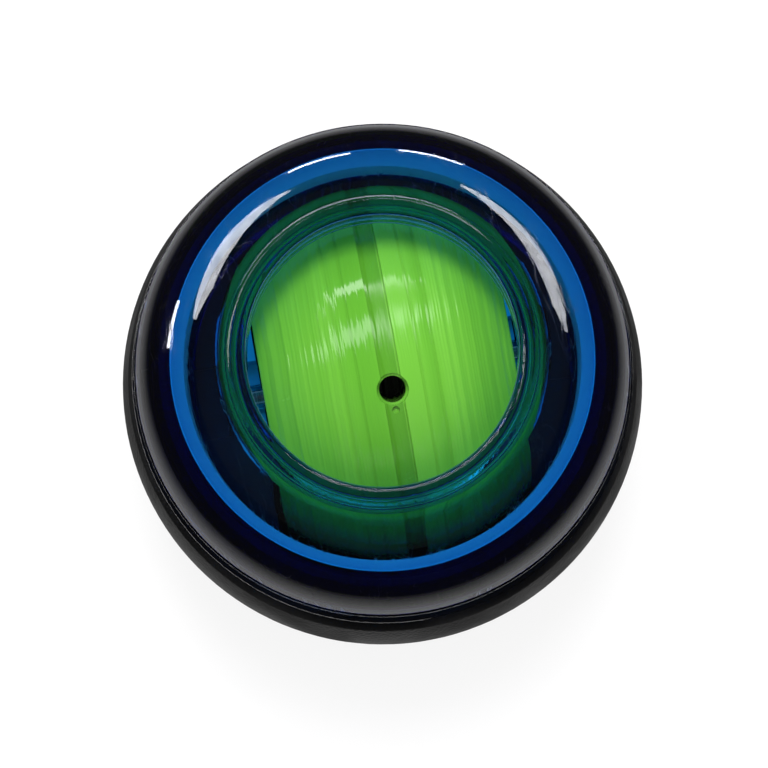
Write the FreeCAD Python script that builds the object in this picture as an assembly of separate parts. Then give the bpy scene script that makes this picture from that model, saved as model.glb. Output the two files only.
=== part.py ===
import FreeCAD, Part
import math
import os
from FreeCAD import Vector

# Gyroscopic wrist ball, in millimetres.
# The origin is the centre of the flat foot, +Z up. A "level" is a height counted from the ball's centre.
# The axle lies along X. The "axle frame" of the rotor's own pieces has the axle along Z, right end up.

# Whole ball
under_rotor_room = 5.6
window_rise = 2.7

# Clearances
seat_gap = 0.02
slip_gap = 0.1
running_gap = 0.3
journal_gap = 0.03
overrun = 1.0
match_tolerance = 1e-4

# Rotor
rotor_radius = 23.0
rotor_side_share = 0.661
rotor_ring_gap = 0.3
band_width = 14.6
band_height = 0.14
groove_width = 2.45
groove_depth = 1.0
line_offsets = [3.75, 5.6]
line_width = 0.3
line_depth = 0.12
web_width = 7.6
parting_offset = 2.3
parting_depth = 0.6
hub_radius = 5.2
rotor_edge_round = 0.5

# Cord hole, on the rotor's middle, and its angle from straight up at rest
cord_hole_radius = 1.575
cord_hole_depth = 9.5
counterbore_radius = 1.9
counterbore_depth = 0.4
cord_notch_radius = 0.45
cord_notch_depth = 0.7
cord_notch_offset = 2.5
cord_hole_lean = 11.3

# Rotor caps, weights and their screws
cap_rim = 1.15
cap_thickness = 1.8
cap_seat_width = 0.6
cap_bore_gap = 0.25
screw_count = 3
screw_circle_radius = 9.0
first_screw_angle = 90.0
screw_radius = 1.0
screw_head_radius = 1.9
screw_head_height = 1.2
screw_head_recess = 0.15
screw_slot_width = 0.5
screw_slot_depth = 0.5
screw_grip = 2.4

# Axle, bearings and washers
axle_radius = 1.5
journal_radius = 1.0
tip_chamfer = 0.25
tip_end_gap = 0.7
end_float = 0.5
rest_shift = 0.45
bearing_wall = 0.57
bearing_length = 3.2
washer_thickness = 0.3
washer_rim = 0.45

# Guide ring
ring_rib_width = 1.8
ring_rib_height = 4.6
pad_gap = 0.6
pad_plate_thickness = 1.4
pad_plate_reach = 9.6
left_plate_extra = 0.6
axle_slot_width = 8.8
slot_mouth_width = 4.4
slot_floor_thickness = 1.0
ring_edge_round = 0.3

# Tracks
tip_gap = 0.1
track_thickness = 2.4
track_width = 3.5
track_wall = 0.8

# Upper shell
spigot_height = 5.0
dome_edge_step = 1.4
dome_wall = 2.2
rim_land = 2.1
lip_wall = 1.1
lip_depth = 6.5
lip_foot_round = 0.4
lip_root_round = 1.3
rim_outer_round = 0.8
rim_inner_round = 0.7
dome_edge_round = 0.35

# Liner, the pale ring that glows blue under the dome
liner_foot_level = 10.6
liner_foot_width = 1.2
liner_top_width = 0.12
liner_wall_level = 14.4

# Bayonet lugs, between the shells
lug_count = 3
lug_sweep = 26.0
lug_reach = 0.6
lug_rise = 1.1
lug_height = 1.4
lug_gap = 0.2

# Lower shell
collar_top_step = 0.15
collar_top_height = 4.0
collar_foot_step = 0.55
collar_foot_height = 4.4
collar_round = 0.35
cup_wall = 2.2
ledge_thickness = 2.0
base_hole_radius = 4.0

# Grip sleeve
sleeve_wall = 2.0
sleeve_top_step = 0.7
sleeve_top_round = 0.6
bulge = 1.4
bulge_level = -9.0
foot_outer_radius = 15.5
foot_inner_radius = 10.0
foot_height = 2.2
foot_round = 0.4

# Base cap
base_cap_inset = 0.5
base_cap_round = 0.4

# Places worked out from the sizes above
foot_to_centre = rotor_radius + under_rotor_room + cup_wall + foot_height
rotor_side = rotor_radius * rotor_side_share
cap_seat = rotor_side - cap_thickness
web_side = web_width / 2
outer_rotor_radius = rotor_radius - band_height
rotor_flat_radius = math.sqrt(outer_rotor_radius ** 2 - rotor_side ** 2)
cap_radius = rotor_flat_radius - cap_rim
cavity_radius = cap_radius - cap_seat_width
cap_bore_radius = axle_radius + cap_bore_gap
washer_radius = axle_radius + washer_rim
groove_floor_radius = rotor_radius - groove_depth
parting_radius = groove_floor_radius - parting_depth
cord_hole_floor_radius = groove_floor_radius - cord_hole_depth
bearing_radius = journal_radius + journal_gap + bearing_wall
ring_inner_radius = rotor_radius + rotor_ring_gap
ring_rib_radius = ring_inner_radius + ring_rib_width
ring_half_height = ring_rib_height / 2
track_inner_radius = ring_rib_radius + running_gap
track_outer_radius = track_inner_radius + track_width
race_wall_radius = track_outer_radius - track_wall
race_half_height = journal_radius + tip_gap
ring_flange_half_height = race_half_height - running_gap
track_level = race_half_height + track_thickness
pad_side = rotor_side + pad_gap
bearing_face = ring_inner_radius - bearing_length
tip_end = race_wall_radius - tip_end_gap
shoulder = bearing_face - washer_thickness - end_float
liner_seat_radius = ring_inner_radius + liner_foot_width
rim_level = rotor_radius + window_rise
dome_edge_level = track_level + spigot_height
dome_edge_radius = track_outer_radius + dome_edge_step
dome_radius = math.hypot(dome_edge_radius, dome_edge_level)
dome_inner_radius = dome_radius - dome_wall
rim_radius = math.sqrt(dome_radius ** 2 - rim_level ** 2)
opening_radius = rim_radius - rim_land
lip_radius = opening_radius + lip_wall
lug_low_level = track_level + lug_rise
spigot_wall = track_outer_radius - ring_inner_radius
cup_bore_radius = track_outer_radius + slip_gap
collar_top_radius = dome_edge_radius + collar_top_step
collar_foot_radius = collar_top_radius + collar_foot_step
collar_step_level = dome_edge_level - collar_top_height
collar_foot_level = collar_step_level - collar_foot_height
sleeve_top_radius = collar_foot_radius + sleeve_top_step
sleeve_radius = sleeve_top_radius + bulge
cup_base_level = foot_height - foot_to_centre
cup_floor_level = cup_base_level + cup_wall

# The cup's outline: an arc up from the widest level and an arc down from it, both centred at that level
top_rise = collar_foot_level - bulge_level
upper_arc_radius = (bulge ** 2 + top_rise ** 2) / (2 * bulge)
foot_drop = sleeve_radius - foot_outer_radius
foot_fall = foot_to_centre + bulge_level
lower_arc_radius = (foot_drop ** 2 + foot_fall ** 2) / (2 * foot_drop)
upper_arc_centre = (sleeve_radius - upper_arc_radius, bulge_level)
lower_arc_centre = (sleeve_radius - lower_arc_radius, bulge_level)


def chord_side(radius, offset):
    """Half the chord that lies at an offset from the middle of a circle."""
    return math.sqrt(radius ** 2 - offset ** 2)


def cup_radius(level, inset):
    """Radius of the cup's outline at a level, moved in by an inset."""
    if level > bulge_level:
        arc_radius, centre = upper_arc_radius, upper_arc_centre
    else:
        arc_radius, centre = lower_arc_radius, lower_arc_centre
    return centre[0] + chord_side(arc_radius - inset, level - bulge_level)


def flat_point(point):
    return Vector(point[0], 0, point[1])


def arc_edge(start, end, centre):
    """The shorter arc about a centre, in the half plane of radius and level."""
    radius = math.hypot(start[0] - centre[0], start[1] - centre[1])
    first = math.atan2(start[1] - centre[1], start[0] - centre[0])
    last = math.atan2(end[1] - centre[1], end[0] - centre[0])
    middle = (first + last) / 2
    halfway = (centre[0] + radius * math.cos(middle), centre[1] + radius * math.sin(middle))
    return Part.Arc(flat_point(start), flat_point(halfway), flat_point(end)).toShape()


def turned(start, steps):
    """Solid turned about Z from (radius, level) points. A step is (end,) or (end, arc centre)."""
    edges = []
    here = start
    for step in steps + [(start,)]:
        end = step[0]
        if len(step) > 1:
            edges.append(arc_edge(here, end, step[1]))
        else:
            edges.append(Part.LineSegment(flat_point(here), flat_point(end)).toShape())
        here = end
    face = Part.Face(Part.Wire(edges))
    return face.revolve(Vector(0, 0, 0), Vector(0, 0, 1), 360)


def rod(radius, low, high):
    return Part.makeCylinder(radius, high - low, Vector(0, 0, low))


def tube(inner, outer, low, high):
    return rod(outer, low, high).cut(rod(inner, low, high))


def tube_sector(inner, outer, low, high, middle_angle, sweep):
    outside = Part.makeCylinder(outer, high - low, Vector(0, 0, low), Vector(0, 0, 1), sweep)
    sector = outside.cut(rod(inner, low, high))
    sector.rotate(Vector(0, 0, 0), Vector(0, 0, 1), middle_angle - sweep / 2)
    return sector


def block(half_x, half_y, half_z):
    return Part.makeBox(2 * half_x, 2 * half_y, 2 * half_z, Vector(-half_x, -half_y, -half_z))


def sphere_slab(radius, low, high):
    return Part.makeSphere(radius).common(rod(radius + overrun, low, high))


def rounded(solid, round_radius, rings):
    """Rounds the circular edges about Z that lie at the given (radius, level) places."""
    chosen = []
    for edge in solid.Edges:
        curve = edge.Curve
        if not isinstance(curve, Part.Circle):
            continue
        for radius, level in rings:
            near_radius = abs(curve.Radius - radius) < match_tolerance
            near_centre = (curve.Center - Vector(0, 0, level)).Length < match_tolerance
            if near_radius and near_centre:
                chosen.append(edge)
    return solid.makeFillet(round_radius, chosen)


def one_solid(shape):
    """The single solid of a finished shape, with seams that need no edge taken out."""
    return shape.removeSplitter().Solids[0]


def upper_shell():
    ball_centre = (0, 0)
    outline = [
        ((rim_radius, rim_level),),
        ((dome_edge_radius, dome_edge_level), ball_centre),
        ((track_outer_radius, dome_edge_level),),
        ((track_outer_radius, track_level),),
        ((ring_inner_radius, track_level),),
        ((ring_inner_radius, liner_foot_level),),
        ((liner_seat_radius, liner_foot_level),),
        ((liner_seat_radius, chord_side(dome_inner_radius, liner_seat_radius)),),
        ((lip_radius, chord_side(dome_inner_radius, lip_radius)), ball_centre),
        ((lip_radius, rim_level - lip_depth),),
        ((opening_radius, rim_level - lip_depth),),
    ]
    shell = turned((opening_radius, rim_level), outline)
    shell = rounded(shell, rim_outer_round, [(rim_radius, rim_level)])
    shell = rounded(shell, rim_inner_round, [(opening_radius, rim_level)])
    shell = rounded(shell, dome_edge_round, [(dome_edge_radius, dome_edge_level)])
    lip_level = rim_level - lip_depth
    shell = rounded(shell, lip_foot_round, [(opening_radius, lip_level), (lip_radius, lip_level)])
    shell = rounded(shell, lip_root_round, [(lip_radius, chord_side(dome_inner_radius, lip_radius))])
    for turn in range(lug_count):
        angle = turn * 360 / lug_count
        lug_radius = track_outer_radius + lug_reach
        inner = track_outer_radius - spigot_wall / 2
        high = lug_low_level + lug_height
        shell = shell.fuse(tube_sector(inner, lug_radius, lug_low_level, high, angle, lug_sweep))
    return one_solid(shell)


def liner_ring():
    """Stands on the step inside the spigot, with a sloped top edge that meets the dome."""
    outer = liner_seat_radius - seat_gap
    top_radius = outer - liner_top_width
    dome_face = dome_inner_radius - seat_gap
    foot_level = liner_foot_level + seat_gap
    top_level = chord_side(dome_face, top_radius)
    outline = [
        ((outer, foot_level),),
        ((outer, chord_side(dome_face, outer)),),
        ((top_radius, top_level), (0, 0)),
        ((ring_inner_radius, liner_wall_level),),
    ]
    return turned((ring_inner_radius, foot_level), outline)


def lug_pockets():
    """The room that the lugs turn in, and the slots that let them in from above."""
    pocket_radius = track_outer_radius + lug_reach + lug_gap
    low = lug_low_level - lug_gap
    high = lug_low_level + lug_height + lug_gap
    sweep = lug_sweep + math.degrees(2 * lug_gap / pocket_radius)
    inner = track_outer_radius
    pockets = []
    for turn in range(lug_count):
        angle = turn * 360 / lug_count
        pockets.append(tube_sector(inner, pocket_radius, low, high, angle + sweep / 2, 2 * sweep))
        slot_top = dome_edge_level + overrun
        pockets.append(tube_sector(inner, pocket_radius, low, slot_top, angle + sweep, sweep))
    return pockets


def cup_side(inset, top_level):
    """The two arcs of the cup's side, by its widest level up to a top level."""
    widest = (sleeve_radius - inset, bulge_level)
    return [
        (widest, lower_arc_centre),
        ((cup_radius(top_level, inset), top_level), upper_arc_centre),
    ]


def lower_shell():
    outer_inset = sleeve_wall + seat_gap
    inner_inset = outer_inset + cup_wall
    ledge_level = -track_level - ledge_thickness
    outside = [((cup_radius(cup_base_level, outer_inset), cup_base_level),)]
    outside += cup_side(outer_inset, collar_foot_level)
    outside += [
        ((collar_foot_radius, collar_foot_level),),
        ((collar_foot_radius, collar_step_level),),
        ((collar_top_radius, collar_step_level),),
        ((collar_top_radius, dome_edge_level),),
        ((cup_bore_radius, dome_edge_level),),
        ((cup_bore_radius, -track_level),),
        ((ring_inner_radius, -track_level),),
        ((ring_inner_radius, ledge_level),),
        ((cup_radius(ledge_level, inner_inset), ledge_level),),
        ((sleeve_radius - inner_inset, bulge_level), upper_arc_centre),
        ((cup_radius(cup_floor_level, inner_inset), cup_floor_level), lower_arc_centre),
        ((base_hole_radius, cup_floor_level),),
    ]
    shell = turned((base_hole_radius, cup_base_level), outside)
    shell = rounded(shell, collar_round, [
        (collar_foot_radius, collar_step_level),
        (collar_top_radius, dome_edge_level),
    ])
    for pocket in lug_pockets():
        shell = shell.cut(pocket)
    return one_solid(shell)


def grip_sleeve():
    outline = [
        ((foot_inner_radius, cup_base_level),),
        ((cup_radius(cup_base_level, sleeve_wall), cup_base_level),),
    ]
    outline += cup_side(sleeve_wall, collar_foot_level)
    outline += [
        ((sleeve_top_radius, collar_foot_level),),
        ((sleeve_radius, bulge_level), upper_arc_centre),
        ((foot_outer_radius, -foot_to_centre), lower_arc_centre),
    ]
    sleeve = turned((foot_inner_radius, -foot_to_centre), outline)
    sleeve = rounded(sleeve, sleeve_top_round, [(sleeve_top_radius, collar_foot_level)])
    sleeve = rounded(sleeve, foot_round, [(foot_inner_radius, -foot_to_centre)])
    return one_solid(sleeve)


def base_cap():
    low = base_cap_inset - foot_to_centre
    disc_radius = foot_inner_radius - slip_gap
    disc = rounded(rod(disc_radius, low, cup_base_level), base_cap_round, [(disc_radius, low)])
    stem = rod(base_hole_radius - seat_gap, cup_base_level - overrun, cup_floor_level)
    return one_solid(disc.fuse(stem))


def track(side):
    """Half of the race: side is 1 for the upper half and -1 for the lower one."""
    outline = [
        ((race_wall_radius, side * race_half_height),),
        ((race_wall_radius, 0),),
        ((track_outer_radius, 0),),
        ((track_outer_radius, side * track_level),),
        ((track_inner_radius, side * track_level),),
    ]
    return one_solid(turned((track_inner_radius, side * race_half_height), outline))


def axle_slot(inset):
    """The slot through the ring's middle, open below, with a floor each side of its mouth."""
    floor = slot_floor_thickness - ring_half_height + inset
    upper = block(ring_inner_radius, axle_slot_width / 2 - inset, ring_rib_height)
    upper = upper.common(rod(ring_rib_radius, floor, ring_rib_height))
    mouth = block(ring_inner_radius, slot_mouth_width / 2 - inset, ring_rib_height)
    return upper.fuse(mouth.common(rod(ring_rib_radius, -ring_rib_height, ring_rib_height)))


def guide_ring():
    plate = rod(ring_rib_radius, -ring_half_height, ring_half_height)
    room = rod(ring_inner_radius, -ring_rib_height, ring_rib_height)
    room = room.common(block(pad_side, ring_inner_radius, ring_rib_height))
    ring = plate.cut(room)
    ring = rounded(ring, ring_edge_round, [
        (ring_rib_radius, ring_half_height),
        (ring_rib_radius, -ring_half_height),
    ])
    flange_radius = race_wall_radius - running_gap
    flange_root = ring_inner_radius + ring_rib_width / 2
    flange = tube(flange_root, flange_radius, -ring_flange_half_height, ring_flange_half_height)
    ring = ring.fuse(flange).cut(axle_slot(0))
    ring = ring.cut(block(pad_side + pad_plate_thickness, pad_plate_reach, ring_half_height))
    notch_radius = bearing_radius + seat_gap
    notch = Part.makeCylinder(notch_radius, 2 * flange_radius, Vector(-flange_radius, 0, 0), Vector(1, 0, 0))
    mouth = block(flange_radius, notch_radius, ring_half_height)
    mouth.translate(Vector(0, 0, -ring_half_height))
    return one_solid(ring.cut(notch).cut(mouth))


def ring_bearing():
    """A block that fills the slot's end, with a sleeve that reaches out through the rib's notch."""
    out = ring_rib_radius + overrun
    reach = block((out - bearing_face) / 2, out, out)
    reach.translate(Vector((out + bearing_face) / 2, 0, 0))
    body = axle_slot(seat_gap).common(reach)
    body = body.common(block(ring_inner_radius - seat_gap, out, ring_half_height))
    length = ring_rib_radius - bearing_face
    sleeve = Part.makeCylinder(bearing_radius, length, Vector(bearing_face, 0, 0), Vector(1, 0, 0))
    bore_radius = journal_radius + journal_gap
    bore = Part.makeCylinder(bore_radius, length, Vector(bearing_face, 0, 0), Vector(1, 0, 0))
    return one_solid(body.fuse(sleeve).cut(bore))


def pad_plate(extra):
    """Plate on the right pad's side, slotted for the axle. The left one is thicker by an extra."""
    half_thickness = (pad_plate_thickness + extra) / 2
    plate = block(half_thickness - seat_gap, pad_plate_reach - seat_gap, ring_half_height)
    slot = block(half_thickness, axle_slot_width / 2, ring_half_height)
    slot.translate(Vector(0, 0, slot_floor_thickness))
    axle_room = axle_radius + running_gap
    plate = plate.cut(slot).cut(block(half_thickness, axle_room, axle_room))
    plate.translate(Vector(pad_side + pad_plate_thickness - half_thickness, 0, 0))
    return one_solid(plate)


def axle():
    bar = rod(axle_radius, -shoulder, shoulder)
    journals = rod(journal_radius, -tip_end, tip_end)
    ends = [edge for edge in journals.Edges if isinstance(edge.Curve, Part.Circle)]
    return one_solid(bar.fuse(journals.makeChamfer(tip_chamfer, ends)))


def thrust_washer():
    bore = journal_radius + journal_gap
    return tube(bore, washer_radius, shoulder, shoulder + washer_thickness)


def cord_hole():
    """The hole, its counterbore and the notch beside it, in the axle frame, opening towards -X."""
    out = rotor_radius + overrun
    hole = Part.makeCylinder(cord_hole_radius, out - cord_hole_floor_radius,
                             Vector(-out, 0, 0), Vector(1, 0, 0))
    counterbore = Part.makeCylinder(counterbore_radius, out - groove_floor_radius + counterbore_depth,
                                    Vector(-out, 0, 0), Vector(1, 0, 0))
    notch = Part.makeCylinder(cord_notch_radius, out - groove_floor_radius + cord_notch_depth,
                              Vector(-out, -cord_notch_offset, 0), Vector(1, 0, 0))
    return hole.fuse(counterbore).fuse(notch)


def fine_line(offset):
    surface_radius = chord_side(rotor_radius, offset)
    half = line_width / 2
    return tube(surface_radius - line_depth, rotor_radius + overrun, offset - half, offset + half)


def screw_places():
    for turn in range(screw_count):
        angle = math.radians(turn * 360 / screw_count + first_screw_angle)
        yield Vector(screw_circle_radius * math.cos(angle), screw_circle_radius * math.sin(angle), 0)


def screw_end():
    return web_side - screw_grip


def screw_holes(radius, low, high, side):
    """Rods for the screw holes of one side, from a low to a high distance out along the axle."""
    rods = []
    for place in screw_places():
        hole = rod(radius, low, high)
        if side < 0:
            hole = hole.mirror(Vector(0, 0, 0), Vector(0, 0, 1))
        hole.translate(place)
        rods.append(hole)
    return rods


def cut_all(shape, tools):
    for tool in tools:
        shape = shape.cut(tool)
    return shape


def rotor_blank():
    band_side = band_width / 2
    blank = sphere_slab(outer_rotor_radius, -rotor_side, rotor_side)
    blank = blank.fuse(sphere_slab(rotor_radius, -band_side, band_side))
    groove_side = groove_width / 2
    blank = blank.cut(tube(groove_floor_radius, rotor_radius + overrun, -groove_side, groove_side))
    edges = [(rotor_flat_radius, rotor_side), (rotor_flat_radius, -rotor_side)]
    blank = rounded(blank, rotor_edge_round, edges)
    for side in (1, -1):
        blank = cut_all(blank, [fine_line(side * offset) for offset in line_offsets])
        cavity = tube(hub_radius, cavity_radius, web_side, cap_seat)
        recess = rod(cap_radius + seat_gap, cap_seat, rotor_side + overrun)
        for room in (cavity, recess):
            if side < 0:
                room = room.mirror(Vector(0, 0, 0), Vector(0, 0, 1))
            blank = blank.cut(room)
        blank = cut_all(blank, screw_holes(screw_radius + seat_gap, screw_end(), web_side, side))
    blank = blank.cut(rod(axle_radius + seat_gap, -rotor_radius, rotor_radius))
    return blank.cut(cord_hole())


def rotor_halves():
    blank = rotor_blank()
    out = rotor_radius + overrun
    right_room = rod(out, parting_offset, rotor_side + overrun)
    right_room = right_room.fuse(tube(parting_radius, out, groove_width / 2, rotor_side + overrun))
    return one_solid(blank.cut(right_room)), one_solid(blank.common(right_room))


def rotor_weight():
    """In the axle frame, for the right end."""
    weight = tube(hub_radius + slip_gap, cavity_radius - slip_gap, web_side, cap_seat)
    holes = screw_holes(screw_radius + slip_gap, web_side - overrun, cap_seat + overrun, 1)
    return one_solid(cut_all(weight, holes))


def head_seat():
    return rotor_side - screw_head_recess - screw_head_height


def rotor_cap():
    cap = tube(cap_bore_radius, cap_radius, cap_seat, rotor_side)
    cap = cut_all(cap, screw_holes(screw_radius + slip_gap, cap_seat - overrun, rotor_side + overrun, 1))
    heads = screw_holes(screw_head_radius + slip_gap, head_seat(), rotor_side + overrun, 1)
    return one_solid(cut_all(cap, heads))


def cap_screws():
    screws = []
    for place in screw_places():
        head_top = head_seat() + screw_head_height
        screw = rod(screw_radius, screw_end(), head_top).fuse(rod(screw_head_radius, head_seat(), head_top))
        slot = block(screw_head_radius + overrun, screw_slot_width / 2, screw_slot_depth)
        slot.translate(Vector(0, 0, head_top))
        screw = one_solid(screw.cut(slot))
        screw.translate(place)
        screws.append(screw)
    return Part.makeCompound(screws)


def mirrored(shape):
    """The left piece of a pair that is made for the right end of the axle."""
    return shape.mirror(Vector(0, 0, 0), Vector(0, 0, 1))


def in_place(shape):
    """Lays a piece that turns with the rotor along X, with the rotor's lean and shift."""
    placed = shape.copy()
    placed.rotate(Vector(0, 0, 0), Vector(0, 1, 0), 90)
    placed.rotate(Vector(0, 0, 0), Vector(1, 0, 0), cord_hole_lean)
    placed.translate(Vector(rest_shift, 0, 0))
    return placed


def all_pieces():
    half_left, half_right = rotor_halves()
    pieces = {
        "upper_shell": upper_shell(),
        "lower_shell": lower_shell(),
        "grip_sleeve": grip_sleeve(),
        "base_cap": base_cap(),
        "upper_track": track(1),
        "lower_track": track(-1),
        "liner_ring": liner_ring(),
        "guide_ring": guide_ring(),
        "ring_bearing_right": ring_bearing(),
        "ring_bearing_left": ring_bearing().mirror(Vector(0, 0, 0), Vector(1, 0, 0)),
        "pad_plate_right": pad_plate(0),
        "pad_plate_left": pad_plate(left_plate_extra).mirror(Vector(0, 0, 0), Vector(1, 0, 0)),
        "axle": in_place(axle()),
        "rotor_half_left": in_place(half_left),
        "rotor_half_right": in_place(half_right),
    }
    pairs = {
        "thrust_washer": thrust_washer(),
        "rotor_weight": rotor_weight(),
        "rotor_cap": rotor_cap(),
        "cap_screws": cap_screws(),
    }
    for name, shape in pairs.items():
        pieces[name + "_left"] = in_place(mirrored(shape))
        pieces[name + "_right"] = in_place(shape)
    return pieces


os.makedirs("parts", exist_ok=True)
for name, shape in all_pieces().items():
    shape.translate(Vector(0, 0, foot_to_centre))
    shape.exportStep("parts/" + name + ".step")
    print(name, len(shape.Solids), "valid" if shape.isValid() else "INVALID", round(shape.Volume, 1))
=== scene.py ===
import math

import bpy
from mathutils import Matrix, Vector

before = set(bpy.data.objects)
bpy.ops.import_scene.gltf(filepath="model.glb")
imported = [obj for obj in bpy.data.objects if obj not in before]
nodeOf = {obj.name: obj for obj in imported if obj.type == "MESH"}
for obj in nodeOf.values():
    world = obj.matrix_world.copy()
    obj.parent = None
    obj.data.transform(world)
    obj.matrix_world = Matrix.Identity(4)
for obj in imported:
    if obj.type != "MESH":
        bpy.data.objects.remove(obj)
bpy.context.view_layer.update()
scene = bpy.context.scene
mm = 0.001
ballCentre = Vector((0, 0, 33 * mm))
print("frame loaded:", len(nodeOf), "nodes")

# The photo looks down on the window, tilted a little towards the picture's lower edge
view = {
    "azimuth": -100,
    "elevation": 83.2,
    "distance": 400 * mm,
    "lens": 150,
    "aimRight": 0.19 * mm,
    "aimUp": -0.975 * mm,
    "nearest": 10 * mm,
}


def direction(azimuth, elevation):
    across = math.cos(math.radians(elevation))
    return Vector((
        across * math.cos(math.radians(azimuth)),
        across * math.sin(math.radians(azimuth)),
        math.sin(math.radians(elevation)),
    ))


def makeCamera():
    towards = direction(view["azimuth"], view["elevation"])
    right = direction(view["azimuth"] + 90, 0)
    up = towards.cross(right)
    aim = ballCentre + right * view["aimRight"] + up * view["aimUp"]
    camera = bpy.data.objects.new("camera", bpy.data.cameras.new("camera"))
    scene.collection.objects.link(camera)
    camera.location = aim + towards * view["distance"]
    camera.rotation_euler = (-towards).to_track_quat("-Z", "Y").to_euler()
    camera.data.lens = view["lens"]
    camera.data.clip_start = view["nearest"]
    scene.camera = camera


makeCamera()
print("camera placed")


# Small helpers for node trees. A value can be a plain number or colour, or another node's output
def newMaterial(name):
    material = bpy.data.materials.new(name)
    material.use_nodes = True
    material.node_tree.nodes.clear()
    return material, material.node_tree


def feed(tree, socket, value):
    if isinstance(value, bpy.types.NodeSocket):
        tree.links.new(value, socket)
    else:
        socket.default_value = value


def addNode(tree, kind, settings=None, **inputs):
    node = tree.nodes.new(kind)
    for name, value in (settings or {}).items():
        setattr(node, name, value)
    for name, value in inputs.items():
        feed(tree, node.inputs[name.replace("_", " ")], value)
    return node


def objectPlace(tree):
    return addNode(tree, "ShaderNodeTexCoord").outputs["Object"]


def maths(tree, operation, *values):
    node = addNode(tree, "ShaderNodeMath", {"operation": operation})
    for socket, value in zip(node.inputs, values):
        feed(tree, socket, value)
    return node.outputs[0]


def vectorMaths(tree, operation, *values):
    node = addNode(tree, "ShaderNodeVectorMath", {"operation": operation})
    for socket, value in zip(node.inputs, values):
        feed(tree, socket, value)
    return node.outputs["Value" if operation in ("LENGTH", "DISTANCE") else "Vector"]


def remap(tree, value, fromLow, fromHigh, toLow, toHigh):
    node = addNode(tree, "ShaderNodeMapRange", Value=value)
    ends = {"From Min": fromLow, "From Max": fromHigh, "To Min": toLow, "To Max": toHigh}
    for name, number in ends.items():
        feed(tree, node.inputs[name], number)
    return node.outputs["Result"]


def blendColours(tree, share, first, second):
    node = addNode(tree, "ShaderNodeMix", {"data_type": "RGBA"})
    for place, value in ((0, share), (6, first), (7, second)):  # a Mix node's sockets for colours
        feed(tree, node.inputs[place], value)
    return node.outputs[2]


def mixShaders(tree, share, first, second):
    node = addNode(tree, "ShaderNodeMixShader", Fac=share)
    tree.links.new(first, node.inputs[1])
    tree.links.new(second, node.inputs[2])
    return node.outputs[0]


def closeMaterial(tree, surface, volume=None):
    output = tree.nodes.new("ShaderNodeOutputMaterial")
    tree.links.new(surface, output.inputs["Surface"])
    if volume is not None:
        tree.links.new(volume, output.inputs["Volume"])


def newGroup(name, inputs, outputs):
    group = bpy.data.node_groups.new(name, "ShaderNodeTree")
    for socketName, value in inputs.items():
        socket = group.interface.new_socket(name=socketName, in_out="INPUT", socket_type="NodeSocketFloat")
        socket.default_value = value
    for socketName in outputs:
        group.interface.new_socket(name=socketName, in_out="OUTPUT", socket_type="NodeSocketFloat")
    return group, group.nodes.new("NodeGroupInput"), group.nodes.new("NodeGroupOutput")


def placeGroup(tree, group, **inputs):
    return addNode(tree, "ShaderNodeGroup", {"node_tree": group}, **inputs)


# Fine handling marks: long thin scratches and soft finger smears, as a mask each
marksLook = {
    "stretch": (1.0, 0.16, 0.5),
    "turn": (0.3, 0.2, 0.8),
    "scratchDetail": 3.0,
    "scratchRoughness": 0.6,
    "scratchLevel": 0.5,  # a scratch runs where the noise has this value
    "scratchWidth": 0.012,
    "smearDetail": 4.0,
    "smearRoughness": 0.55,
    "smearFrom": 0.48,
    "smearTo": 0.75,
}


def makeMarksGroup(look):
    group, given, result = newGroup(
        "handledMarks", {"scratchSize": 260.0, "smearSize": 55.0}, ["Scratches", "Smears"])
    place = objectPlace(group)
    stretched = addNode(group, "ShaderNodeMapping", Vector=place, Scale=look["stretch"],
                        Rotation=look["turn"])
    scratchNoise = addNode(group, "ShaderNodeTexNoise", Vector=stretched.outputs[0],
                           Scale=given.outputs["scratchSize"], Detail=look["scratchDetail"],
                           Roughness=look["scratchRoughness"])
    offLevel = maths(group, "SUBTRACT", scratchNoise.outputs["Fac"], look["scratchLevel"])
    crest = maths(group, "ABSOLUTE", offLevel)
    feed(group, result.inputs["Scratches"], remap(group, crest, 0.0, look["scratchWidth"], 1.0, 0.0))
    smearNoise = addNode(group, "ShaderNodeTexNoise", Vector=place, Scale=given.outputs["smearSize"],
                         Detail=look["smearDetail"], Roughness=look["smearRoughness"])
    smears = remap(group, smearNoise.outputs["Fac"], look["smearFrom"], look["smearTo"], 0.0, 1.0)
    feed(group, result.inputs["Smears"], smears)
    return group


# Rings left by turning or moulding, running round the axle, as a height and a mask
ringsLook = {
    "driftScale": 120.0,
    "driftDetail": 2.0,
    "fineScale": 1.0,
    "fineDetail": 2.0,
    "fineRoughness": 0.45,
    "broadScale": 0.22,
    "broadDetail": 1.0,
    "bandFrom": 0.35,
    "bandTo": 0.65,
}


def makeRingsGroup(look):
    group, given, result = newGroup("turnedRings", {"ringScale": 900.0, "waver": 0.15}, ["Height", "Bands"])
    place = objectPlace(group)
    apart = addNode(group, "ShaderNodeSeparateXYZ", Vector=place)
    drift = addNode(group, "ShaderNodeTexNoise", Vector=place, Scale=look["driftScale"],
                    Detail=look["driftDetail"])
    along = maths(group, "MULTIPLY", apart.outputs["X"], given.outputs["ringScale"])
    wander = maths(group, "MULTIPLY", drift.outputs["Fac"], given.outputs["waver"])
    shifted = maths(group, "ADD", along, wander)
    fine = addNode(group, "ShaderNodeTexNoise", {"noise_dimensions": "1D"}, W=shifted,
                   Scale=look["fineScale"], Detail=look["fineDetail"], Roughness=look["fineRoughness"])
    broad = addNode(group, "ShaderNodeTexNoise", {"noise_dimensions": "1D"}, W=shifted,
                    Scale=look["broadScale"], Detail=look["broadDetail"])
    feed(group, result.inputs["Height"], fine.outputs["Fac"])
    bands = remap(group, broad.outputs["Fac"], look["bandFrom"], look["bandTo"], 0.0, 1.0)
    feed(group, result.inputs["Bands"], bands)
    return group


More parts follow.
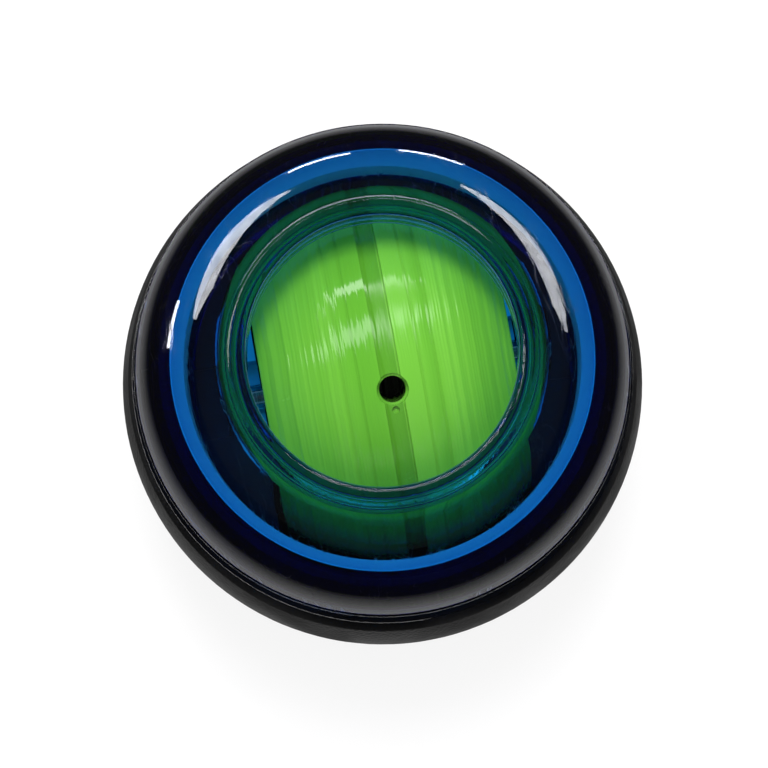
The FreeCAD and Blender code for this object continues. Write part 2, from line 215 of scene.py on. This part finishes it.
# Fine moulded or gritty grain, as a height, with soft patches as a mask
grainLook = {
    "speckDetail": 3.0,
    "speckShare": 0.6,
    "patchScale": 90.0,
    "patchDetail": 3.0,
    "patchFrom": 0.4,
    "patchTo": 0.7,
}


def makeGrainGroup(look):
    group, given, result = newGroup("mouldedGrain", {"grainScale": 2500.0}, ["Height", "Patches"])
    place = objectPlace(group)
    cells = addNode(group, "ShaderNodeTexVoronoi", Vector=place, Scale=given.outputs["grainScale"])
    speck = addNode(group, "ShaderNodeTexNoise", Vector=place, Scale=given.outputs["grainScale"],
                    Detail=look["speckDetail"])
    specks = maths(group, "MULTIPLY", speck.outputs["Fac"], look["speckShare"])
    feed(group, result.inputs["Height"], maths(group, "ADD", cells.outputs["Distance"], specks))
    patch = addNode(group, "ShaderNodeTexNoise", Vector=place, Scale=look["patchScale"],
                    Detail=look["patchDetail"])
    patches = remap(group, patch.outputs["Fac"], look["patchFrom"], look["patchTo"], 0.0, 1.0)
    feed(group, result.inputs["Patches"], patches)
    return group


handledMarks = makeMarksGroup(marksLook)
turnedRings = makeRingsGroup(ringsLook)
mouldedGrain = makeGrainGroup(grainLook)
print("shader groups built")

# Clear blue plastic. Room light and lamp light pass it by tints of their own, which stand for its blue body
clearBlue = {
    "ior": 1.49,
    "absorption": (0.0, 0.72, 0.92, 1),
    "density": 1050,
    "roomTint": (0.95, 0.965, 0.98, 1),
    "lampTint": (0.38, 0.46, 0.62, 1),
    "polished": 0.012,
    "smeared": 0.05,
    "scratched": 0.16,
    "scratchDepth": 0.012,
    "scratchReach": 0.2 * mm,
    "scratchSize": 210.0,
    "smearSize": 48.0,
}


def makeClearBlue(look):
    material, tree = newMaterial("clearBlue")
    marks = placeGroup(tree, handledMarks, scratchSize=look["scratchSize"], smearSize=look["smearSize"])
    smeared = maths(tree, "MULTIPLY", marks.outputs["Smears"], look["smeared"] - look["polished"])
    scratched = maths(tree, "MULTIPLY", marks.outputs["Scratches"], look["scratched"])
    roughness = maths(tree, "ADD", look["polished"], maths(tree, "ADD", smeared, scratched))
    bump = addNode(tree, "ShaderNodeBump", Strength=look["scratchDepth"], Distance=look["scratchReach"],
                   Height=maths(tree, "SUBTRACT", 1.0, marks.outputs["Scratches"]))
    plastic = addNode(tree, "ShaderNodeBsdfPrincipled", Base_Color=(1, 1, 1, 1), Roughness=roughness,
                      IOR=look["ior"], Transmission_Weight=1.0, Normal=bump.outputs[0])
    path = addNode(tree, "ShaderNodeLightPath")
    roomPass = addNode(tree, "ShaderNodeBsdfTransparent", Color=look["roomTint"])
    lampPass = addNode(tree, "ShaderNodeBsdfTransparent", Color=look["lampTint"])
    surface = mixShaders(tree, path.outputs["Is Diffuse Ray"], plastic.outputs[0], roomPass.outputs[0])
    surface = mixShaders(tree, path.outputs["Is Shadow Ray"], surface, lampPass.outputs[0])
    volume = addNode(tree, "ShaderNodeVolumeAbsorption", Color=look["absorption"], Density=look["density"])
    closeMaterial(tree, surface, volume.outputs[0])
    return material


# Green rotor plastic with turned rings, with painted shade in the cord groove and painted shade inside the
# cord hole
greenPlastic = {
    "light": (0.124, 0.385, 0.032, 1),
    "deep": (0.086, 0.30, 0.022, 1),
    "roughness": (0.07, 0.3),
    "fullyDull": 1.6,  # the sum of bands and smears at which the gloss is lowest
    "ringScale": 850.0,
    "waver": 0.5,
    "ringDepth": 1.5,
    "ringReach": 0.2 * mm,
    "scratchSize": 340.0,
    "smearSize": 120.0,
    "boreMiddle": (0.00045, -0.003341, 0.04972),  # the cord hole, as the record states it
    "boreLine": (0.0, -0.195946, 0.980615),
    "boreReach": (1.5 * mm, 1.68 * mm),
    # painted shade: the colour inside the cord hole
    "borePaintedShade": (0.004, 0.014, 0.003, 1),
    "grooveHalfWidth": 1.4 * mm,
    "grooveRadii": (21.95 * mm, 22.1 * mm, 22.9 * mm),  # below the floor, on the floor, at the lips
    # painted shade: the colour of the cord groove's floor
    "groovePaintedShade": (0.078, 0.275, 0.018, 1),
}


# Where the painted shade lies in the cord groove: full on its floor, fading out towards its lips
def grooveMask(tree, parts, look):
    squares = [maths(tree, "POWER", parts.outputs[name], 2.0) for name in ("Y", "Z")]
    fromAxle = maths(tree, "SQRT", maths(tree, "ADD", *squares))
    belowFloor, floorRadius, lipRadius = look["grooveRadii"]
    between = maths(tree, "LESS_THAN", maths(tree, "ABSOLUTE", parts.outputs["X"]), look["grooveHalfWidth"])
    depth = remap(tree, fromAxle, floorRadius, lipRadius, 1.0, 0.0)
    return maths(tree, "MULTIPLY", between,
                 maths(tree, "MULTIPLY", maths(tree, "GREATER_THAN", fromAxle, belowFloor), depth))


# Where the painted shade lies in the cord hole: within its wall, fading out at the counterbore
def boreMask(tree, place, parts, look):
    fromBore = vectorMaths(tree, "SUBTRACT", place, look["boreMiddle"])
    reach = vectorMaths(tree, "LENGTH", vectorMaths(tree, "CROSS_PRODUCT", fromBore, look["boreLine"]))
    near, far = look["boreReach"]
    return maths(tree, "MULTIPLY", remap(tree, reach, near, far, 1.0, 0.0),
                 maths(tree, "GREATER_THAN", parts.outputs["Z"], 0.0))


def makeGreenPlastic(look):
    material, tree = newMaterial("greenPlastic")
    rings = placeGroup(tree, turnedRings, ringScale=look["ringScale"], waver=look["waver"])
    marks = placeGroup(tree, handledMarks, scratchSize=look["scratchSize"], smearSize=look["smearSize"])
    place = objectPlace(tree)
    parts = addNode(tree, "ShaderNodeSeparateXYZ", Vector=vectorMaths(tree, "SUBTRACT", place, ballCentre))
    colour = blendColours(tree, rings.outputs["Bands"], look["deep"], look["light"])
    # painted shade darkens the cord groove
    colour = blendColours(tree, grooveMask(tree, parts, look), colour, look["groovePaintedShade"])
    # painted shade darkens the inside of the cord hole
    colour = blendColours(tree, boreMask(tree, place, parts, look), colour, look["borePaintedShade"])
    wear = maths(tree, "ADD", rings.outputs["Bands"], marks.outputs["Smears"])
    roughness = remap(tree, wear, 0.0, look["fullyDull"], *look["roughness"])
    bump = addNode(tree, "ShaderNodeBump", Strength=look["ringDepth"], Distance=look["ringReach"],
                   Height=rings.outputs["Height"])
    plastic = addNode(tree, "ShaderNodeBsdfPrincipled", Base_Color=colour, Roughness=roughness,
                      Normal=bump.outputs[0])
    closeMaterial(tree, plastic.outputs[0])
    return material


# Rubber and satin plastics: one grain, with its own colours, size and shine for each
grained = {
    "blackRubber": {
        "light": (0.012, 0.012, 0.012, 1),
        "deep": (0.005, 0.005, 0.005, 1),
        "roughness": (0.5, 0.75),
        "grainScale": 2200.0,
        "grainDepth": 0.6,
        "shine": 0.12,
    },
    "blackPlastic": {
        "light": (0.018, 0.018, 0.020, 1),
        "deep": (0.010, 0.010, 0.012, 1),
        "roughness": (0.32, 0.45),
        "grainScale": 4200.0,
        "grainDepth": 0.15,
        "shine": 0.5,
    },
    "palePlastic": {
        "light": (0.93, 0.95, 0.95, 1),
        "deep": (0.88, 0.91, 0.92, 1),
        "roughness": (0.38, 0.5),
        "grainScale": 4200.0,
        "grainDepth": 0.1,
        "shine": 0.5,
    },
    # The pad plates are pale plastic; their cyan is painted blue light, as it reaches them through the blue
    # dome
    "padPaintedBlueLight": {
        "light": (0.03, 0.66, 0.80, 1),
        "deep": (0.025, 0.57, 0.72, 1),
        "roughness": (0.38, 0.5),
        "grainScale": 4200.0,
        "grainDepth": 0.1,
        "shine": 0.5,
    },
    "slatePlastic": {
        "light": (0.10, 0.22, 0.13, 1),
        "deep": (0.07, 0.17, 0.10, 1),
        "roughness": (0.38, 0.5),
        "grainScale": 4200.0,
        "grainDepth": 0.1,
        "shine": 0.5,
    },
}
bumpReach = 0.1 * mm  # for grain and for the rings on steel


def makeGrained(name, look):
    material, tree = newMaterial(name)
    grain = placeGroup(tree, mouldedGrain, grainScale=look["grainScale"])
    colour = blendColours(tree, grain.outputs["Patches"], look["deep"], look["light"])
    roughness = remap(tree, grain.outputs["Patches"], 0.0, 1.0, *look["roughness"])
    bump = addNode(tree, "ShaderNodeBump", Strength=look["grainDepth"], Distance=bumpReach,
                   Height=grain.outputs["Height"])
    plastic = addNode(tree, "ShaderNodeBsdfPrincipled", Base_Color=colour, Roughness=roughness,
                      Normal=bump.outputs[0], Specular_IOR_Level=look["shine"])
    closeMaterial(tree, plastic.outputs[0])
    return material


# Turned steels: the same rings as on the rotor, much finer
turned = {
    "brightSteel": {
        "light": (0.74, 0.74, 0.73, 1),
        "deep": (0.60, 0.60, 0.60, 1),
        "roughness": (0.12, 0.28),
        "ringScale": 5200.0,
        "ringDepth": 0.12,
        "waver": 0.2,
    },
    "weightSteel": {
        "light": (0.55, 0.55, 0.54, 1),
        "deep": (0.42, 0.42, 0.42, 1),
        "roughness": (0.25, 0.4),
        "ringScale": 3000.0,
        "ringDepth": 0.3,
        "waver": 0.2,
    },
}
ringHeights = (0.3, 0.7)  # the heights of a ring's foot and crest


def makeTurnedSteel(name, look):
    material, tree = newMaterial(name)
    rings = placeGroup(tree, turnedRings, ringScale=look["ringScale"], waver=look["waver"])
    colour = blendColours(tree, rings.outputs["Bands"], look["deep"], look["light"])
    roughness = remap(tree, rings.outputs["Height"], *ringHeights, *look["roughness"])
    bump = addNode(tree, "ShaderNodeBump", Strength=look["ringDepth"], Distance=bumpReach,
                   Height=rings.outputs["Height"])
    steel = addNode(tree, "ShaderNodeBsdfPrincipled", Base_Color=colour, Roughness=roughness, Metallic=1.0,
                    Normal=bump.outputs[0])
    closeMaterial(tree, steel.outputs[0])
    return material


finishes = {"clearBlue": makeClearBlue(clearBlue), "greenPlastic": makeGreenPlastic(greenPlastic)}
for name, look in grained.items():
    finishes[name] = makeGrained(name, look)
for name, look in turned.items():
    finishes[name] = makeTurnedSteel(name, look)

# Which nodes wear which finish
wearers = {
    "clearBlue": ["upper_shell", "lower_shell"],
    "blackRubber": ["grip_sleeve"],
    "blackPlastic": ["base_cap", "guide_ring", "ring_bearing_left", "ring_bearing_right"],
    "slatePlastic": ["upper_track", "lower_track"],
    "palePlastic": ["liner_ring"],
    "padPaintedBlueLight": ["pad_plate_left", "pad_plate_right"],
    "brightSteel": [
        "axle", "thrust_washer_left", "thrust_washer_right", "cap_screws_left", "cap_screws_right"],
    "weightSteel": ["rotor_weight_left", "rotor_weight_right"],
    "greenPlastic": ["rotor_half_left", "rotor_half_right", "rotor_cap_left", "rotor_cap_right"],
}
for finish, names in wearers.items():
    for name in names:
        mesh = nodeOf[name].data
        mesh.materials.clear()
        mesh.materials.append(finishes[finish])
print("finishes on", sum(len(names) for names in wearers.values()), "nodes")

whitePaint = (1, 1, 1, 1)


# Rays that should meet plain white: straight from the camera, or through the clear plastic
def whiteRays(tree, path):
    return maths(tree, "MAXIMUM", path.outputs["Is Camera Ray"], path.outputs["Is Transmission Ray"])


table = {
    "size": 3.0,
    "colour": (0.90, 0.90, 0.90, 1),
    "whiteShare": 0.8,  # how far the floor is plain white to the camera, the rest keeps the ball's shadow
    "sheetCentre": (-2.6 * mm, -14.8 * mm, 0),  # the white sheet that the ball's sides mirror
    "sheetRadius": 50 * mm,
    "sheetFade": 31 * mm,
    "sheetGlow": 0.75,
    "roomGlow": 0.02,  # the dim floor beyond the sheet, also only in mirrors
}


def makeTable():
    half = table["size"] / 2
    mesh = bpy.data.meshes.new("table")
    corners = [(-half, -half, 0), (half, -half, 0), (half, half, 0), (-half, half, 0)]
    mesh.from_pydata(corners, [], [(0, 1, 2, 3)])
    plane = bpy.data.objects.new("table", mesh)
    scene.collection.objects.link(plane)
    material, tree = newMaterial("tablePaint")
    paint = addNode(tree, "ShaderNodeBsdfDiffuse", Color=table["colour"])
    white = addNode(tree, "ShaderNodeEmission", Color=whitePaint, Strength=1.0)
    reach = vectorMaths(tree, "DISTANCE", objectPlace(tree), table["sheetCentre"])
    glow = remap(tree, reach, table["sheetRadius"], table["sheetRadius"] + table["sheetFade"],
                 table["sheetGlow"], table["roomGlow"])
    mirrored = addNode(tree, "ShaderNodeEmission", Color=whitePaint, Strength=glow)
    path = addNode(tree, "ShaderNodeLightPath")
    share = maths(tree, "MULTIPLY", whiteRays(tree, path), table["whiteShare"])
    lit = mixShaders(tree, share, paint.outputs[0], white.outputs[0])
    closeMaterial(tree, mixShaders(tree, path.outputs["Is Glossy Ray"], lit, mirrored.outputs[0]))
    mesh.materials.append(material)


# The room's white: as diffuse light, as the camera sees it, and as polished surfaces mirror it
room = {"light": 1.0, "white": 1.0, "mirrored": 0.06}


def makeRoom():
    world = bpy.data.worlds.new("studio")
    world.use_nodes = True
    tree = world.node_tree
    tree.nodes.clear()
    plain, white, dim = (
        addNode(tree, "ShaderNodeBackground", Color=whitePaint, Strength=room[name]).outputs[0]
        for name in ("light", "white", "mirrored")
    )
    path = addNode(tree, "ShaderNodeLightPath")
    lit = mixShaders(tree, whiteRays(tree, path), plain, white)
    output = tree.nodes.new("ShaderNodeOutputWorld")
    surface = mixShaders(tree, path.outputs["Is Glossy Ray"], lit, dim)
    tree.links.new(surface, output.inputs["Surface"])
    scene.world = world


# Two long boxes that only show as highlights, and one soft box that only lights
lamps = {
    "boxHigh": {"azimuth": 105, "elevation": 66, "size": (1.1, 0.17), "radiance": 4.6, "mirrored": True},
    "boxFar": {"azimuth": 96, "elevation": 34, "size": (1.3, 0.2), "radiance": 7.0, "mirrored": True},
    "boxTop": {"azimuth": 84, "elevation": 69, "size": (0.3, 0.3), "radiance": 26.0, "mirrored": False},
}
lampDistance = 0.9


def makeLamp(name, lamp):
    width, height = lamp["size"]
    data = bpy.data.lights.new(name, "AREA")
    data.shape = "RECTANGLE"
    data.size, data.size_y = width, height
    data.energy = lamp["radiance"] * math.pi * width * height
    light = bpy.data.objects.new(name, data)
    scene.collection.objects.link(light)
    towards = direction(lamp["azimuth"], lamp["elevation"])
    light.location = ballCentre + towards * lampDistance
    light.rotation_euler = towards.to_track_quat("Z", "Y").to_euler()
    light.visible_diffuse = not lamp["mirrored"]
    light.visible_glossy = lamp["mirrored"]
    light.visible_transmission = False


# Bright cards round the ball, seen only as reflections: radius and heights in mm.
# A step is (azimuth, lowest height, highest height)
cards = {
    "cardLeft": {"radius": 200, "glow": 8.5, "steps": [
        (153, 30, 38), (143, 20, 50), (128, 9, 41), (115, 12, 30), (106, 20, 23)]},
    "cardRight": {"radius": 200, "glow": 8.0, "steps": [
        (58, 22, 26), (48, 22, 38), (36, 25, 48), (24, 29, 58), (12, 39, 63), (3, 46, 51)]},
}

# Bright strips that lie on the table, also only reflections: azimuths from and to, radii from and to in mm
strips = {
    "stripA": (60, 76, 124, 131),
    "stripB": (88, 104, 130, 138),
    "stripC": (148, 161, 140, 158),
}

cardPaint = {
    "parts": 8,  # facets between two steps of a card, or along a strip
    "stripGlow": 14.0,
    "stripHeight": 0.5 * mm,
    "colour": (0.93, 0.95, 1, 1),
    "patchScale": 75.0,
    "patchDetail": 3.0,
    "patchRange": (0.35, 0.65),
    "dimmest": 0.78,  # shares of the card's glow
    "brightest": 1.15,
}


def makeCardObject(name, corners, glow):
    faces = [(i, i + 1, i + 3, i + 2) for i in range(0, len(corners) - 2, 2)]
    mesh = bpy.data.meshes.new(name)
    mesh.from_pydata(corners, [], faces)
    card = bpy.data.objects.new(name, mesh)
    scene.collection.objects.link(card)
    material, tree = newMaterial(name)
    patches = addNode(tree, "ShaderNodeTexNoise", Vector=objectPlace(tree), Scale=cardPaint["patchScale"],
                      Detail=cardPaint["patchDetail"])
    strength = remap(tree, patches.outputs["Fac"], *cardPaint["patchRange"],
                     cardPaint["dimmest"] * glow, cardPaint["brightest"] * glow)
    light = addNode(tree, "ShaderNodeEmission", Color=cardPaint["colour"], Strength=strength)
    closeMaterial(tree, light.outputs[0])
    mesh.materials.append(material)
    card.visible_camera = False
    card.visible_diffuse = False
    card.visible_shadow = False
    card.visible_transmission = False


def makeCard(name, card):
    corners = []
    steps = card["steps"]
    for (start, low, high), (end, nextLow, nextHigh) in zip(steps, steps[1:]):
        for part in range(cardPaint["parts"] + 1):
            share = part / cardPaint["parts"]
            foot = direction(start + (end - start) * share, 0) * card["radius"] * mm
            corners.append(foot + Vector((0, 0, (low + (nextLow - low) * share) * mm)))
            corners.append(foot + Vector((0, 0, (high + (nextHigh - high) * share) * mm)))
    makeCardObject(name, corners, card["glow"])


def makeStrip(name, start, end, inner, outer):
    corners = []
    lift = Vector((0, 0, cardPaint["stripHeight"]))
    for part in range(cardPaint["parts"] + 1):
        towards = direction(start + (end - start) * part / cardPaint["parts"], 0)
        corners += [towards * inner * mm + lift, towards * outer * mm + lift]
    makeCardObject(name, corners, cardPaint["stripGlow"])


makeTable()
makeRoom()
for name, lamp in lamps.items():
    makeLamp(name, lamp)
for name, card in cards.items():
    makeCard(name, card)
for name, strip in strips.items():
    makeStrip(name, *strip)
print("stage and lamps ready")

# Enough bounces for light to cross both walls of the dome and the parts inside
bounces = {"max_bounces": 24, "glossy_bounces": 16, "transmission_bounces": 24}
for name, count in bounces.items():
    setattr(scene.cycles, name, count)
scene.view_settings.view_transform = "Standard"
